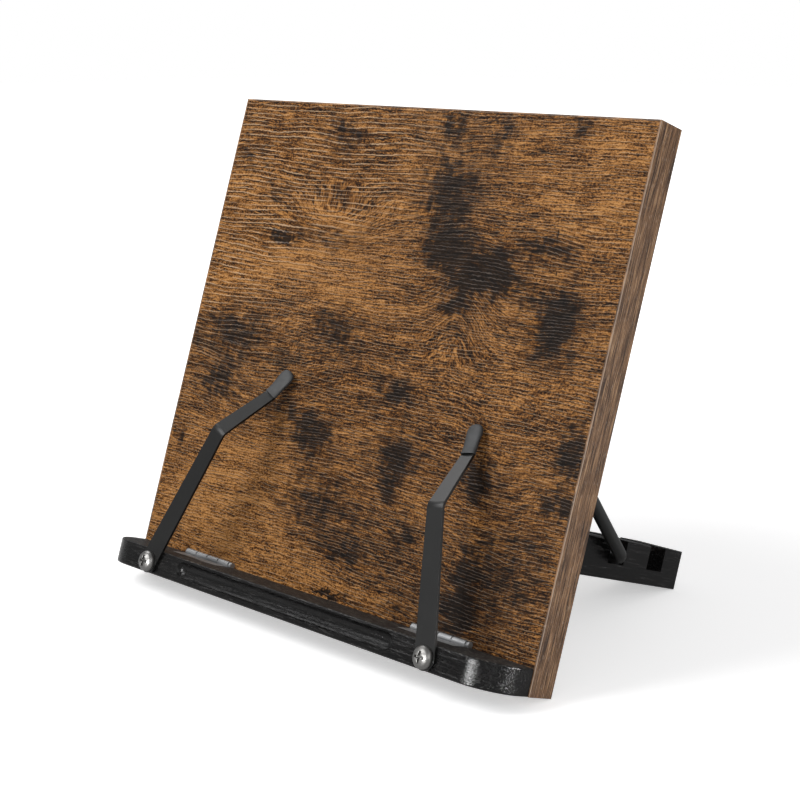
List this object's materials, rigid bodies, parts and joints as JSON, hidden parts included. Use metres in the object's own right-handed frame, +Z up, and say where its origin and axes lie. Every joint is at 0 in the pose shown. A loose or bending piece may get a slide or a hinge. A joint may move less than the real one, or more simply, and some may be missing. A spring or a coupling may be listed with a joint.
{
  "type": "book holder",
  "caption": "Folding book holder: a square wood-look panel that leans back on hinged foot bars held by a wire prop, with a hinged ledge and swinging page clips.",
  "frame": {"origin": "centre of the footprint, on the surface that the stand rests on", "axes": "+X to the right of someone who reads from it, +Y away from that reader, +Z up; the panel leans back from +Z towards +Y"},
  "size_m": [0.25, 0.194, 0.2276],
  "materials": {
    "laminate": "satin",
    "edge_band": "satin",
    "black_wood": "semi-gloss",
    "zinc": "satin",
    "nickel": "polished",
    "black_steel": "satin",
    "black_wire": "satin",
    "soft_cap": "matte"
  },
  "bodies": {
    "stand": {"panel_board": "laminate", "left_edge_band": "edge_band", "right_edge_band": "edge_band", "top_edge_band": "edge_band", "bottom_edge_band": "edge_band", "ledge_board": "black_wood", "left_ledge_hinge_top_leaf": "zinc", "left_ledge_hinge_panel_leaf": "zinc", "left_ledge_hinge_pin": "zinc", "right_ledge_hinge_top_leaf": "zinc", "right_ledge_hinge_panel_leaf": "zinc", "right_ledge_hinge_pin": "zinc", "ledge_hinge_screws": "zinc", "left_foot_hinge_panel_leaf": "zinc", "left_foot_hinge_pin": "zinc", "right_foot_hinge_panel_leaf": "zinc", "right_foot_hinge_pin": "zinc", "foot_hinge_panel_screws": "zinc", "left_prop_saddle": "black_steel", "right_prop_saddle": "black_steel", "saddle_screws": "zinc", "left_clip_screw": "nickel", "right_clip_screw": "nickel"},
    "left_clip": {"left_page_clip": "black_steel", "left_clip_cap": "soft_cap"},
    "right_clip": {"right_page_clip": "black_steel", "right_clip_cap": "soft_cap"},
    "prop": {"prop_wire": "black_wire"},
    "left_foot": {"left_foot_bar": "black_wood", "left_foot_hinge_bar_leaf": "zinc", "left_foot_hinge_bar_screws": "zinc"},
    "right_foot": {"right_foot_bar": "black_wood", "right_foot_hinge_bar_leaf": "zinc", "right_foot_hinge_bar_screws": "zinc"}
  },
  "joints": [
    {"name": "left_clip_swing", "type": "hinge", "parent": "stand", "child": "left_clip", "pos_m": [-0.089, -0.09251, 0.01775], "axis": [0, 0.948, -0.3183], "range_deg": [-112, 23]},
    {"name": "right_clip_swing", "type": "hinge", "parent": "stand", "child": "right_clip", "pos_m": [0.089, -0.09251, 0.01775], "axis": [0, 0.948, -0.3183], "range_deg": [-33, 101.8]},
    {"name": "prop_swing", "type": "hinge", "parent": "stand", "child": "prop", "pos_m": [0, -0.01578, 0.10712], "axis": [1, 0, 0], "range_deg": [0, 125]},
    {"name": "left_foot_drop", "type": "hinge", "parent": "stand", "child": "left_foot", "pos_m": [-0.0665, -0.03381, 0.0625], "axis": [1, 0, 0], "range_deg": [-13, 0]},
    {"name": "right_foot_drop", "type": "hinge", "parent": "stand", "child": "right_foot", "pos_m": [0.0665, -0.03381, 0.0625], "axis": [1, 0, 0], "range_deg": [-13, 0]}
  ]
}
